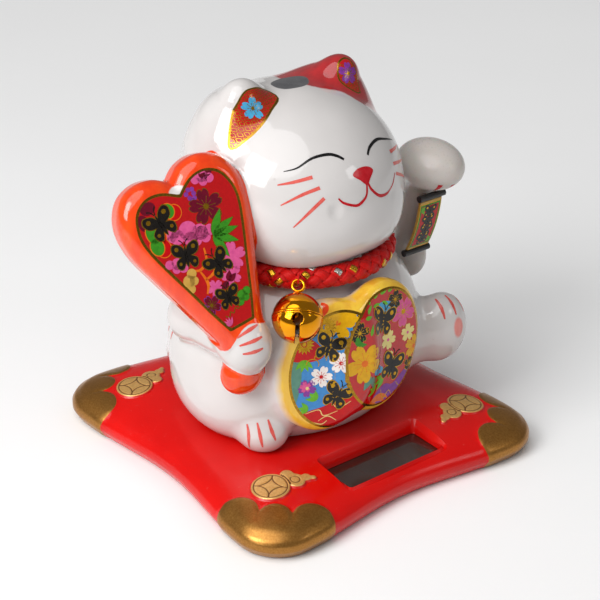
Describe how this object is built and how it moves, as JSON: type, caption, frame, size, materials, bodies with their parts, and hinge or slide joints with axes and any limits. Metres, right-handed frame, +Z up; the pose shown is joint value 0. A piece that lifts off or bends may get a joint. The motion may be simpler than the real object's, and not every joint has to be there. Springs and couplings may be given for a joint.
{
  "type": "beckoning cat figurine",
  "caption": "Glazed beckoning cat on a red solar base, with a rocking arm driven by a pendulum, a fan in the other paw and a jingle bell on a cord collar.",
  "frame": {"origin": "on the table, under the middle of the square base", "axes": "+Z up, the cat faces -Y, the waving arm is on +X and the fan on -X"},
  "size_m": [0.1287, 0.1192, 0.1263],
  "materials": {
    "white_glaze": "gloss",
    "red_plastic": "gloss",
    "steel": "satin",
    "solar_glass": "gloss",
    "glue": "satin",
    "red_cord": "woven",
    "bell_metal": "polished",
    "white_plastic": "satin",
    "scroll_print": "gloss",
    "black_plastic": "satin",
    "copper": "satin",
    "board_green": "satin",
    "wire_red": "satin",
    "wire_black": "satin"
  },
  "bodies": {
    "cat": {"base_top_shell": "red_plastic", "base_bottom_cover": "red_plastic", "base_screw_front_right": "steel", "base_screw_front_left": "steel", "base_screw_back_left": "steel", "base_screw_back_right": "steel", "solar_cell": "solar_glass", "ceramic_cat": "white_glaze", "glue_ring": "glue", "collar_cord": "red_cord", "collar_knot": "red_cord", "shoulder_bush": "black_plastic", "pivot_bracket": "black_plastic", "bracket_screw_front": "steel", "bracket_screw_back": "steel", "coil_bobbin": "white_plastic", "coil_winding": "copper", "circuit_board": "board_green", "capacitor": "black_plastic", "driver_chip": "black_plastic", "cell_lead_positive": "wire_red", "cell_lead_negative": "wire_black", "coil_lead_start": "copper", "coil_lead_end": "copper"},
    "arm": {"arm_front_shell": "white_plastic", "arm_back_shell": "white_plastic", "scroll_sheet": "scroll_print", "scroll_upper_roller": "black_plastic", "scroll_lower_roller": "black_plastic", "arm_axle": "steel", "axle_clip": "steel", "pendulum_lever": "white_plastic", "counterweight": "steel", "drive_magnet": "steel"},
    "bell_loop": {"bell_thread": "red_cord"},
    "bell": {"bell_upper_shell": "bell_metal", "bell_lower_shell": "bell_metal", "bell_eyelet": "bell_metal"},
    "pellet": {"bell_pellet": "steel"}
  },
  "joints": [
    {"name": "arm_swing", "type": "hinge", "parent": "cat", "child": "arm", "pos_m": [0, 0.004, 0.05], "axis": [1, 0, 0], "range_deg": [-14, 16]},
    {"name": "bell_loop_swing", "type": "hinge", "parent": "cat", "child": "bell_loop", "pos_m": [-0.02052, -0.02234, 0.07165], "axis": [0.7771, -0.6293, 0], "range_deg": [-45, 0]},
    {"name": "bell_sideways", "type": "hinge", "parent": "bell_loop", "child": "bell", "pos_m": [-0.02052, -0.02234, 0.07165], "axis": [-0.4372, -0.5399, 0.7193], "range_deg": [-6, 11]},
    {"name": "pellet_rattle", "type": "slide", "parent": "bell", "child": "pellet", "axis": [0, 0, 1], "range_m": [0, 0.006]}
  ]
}
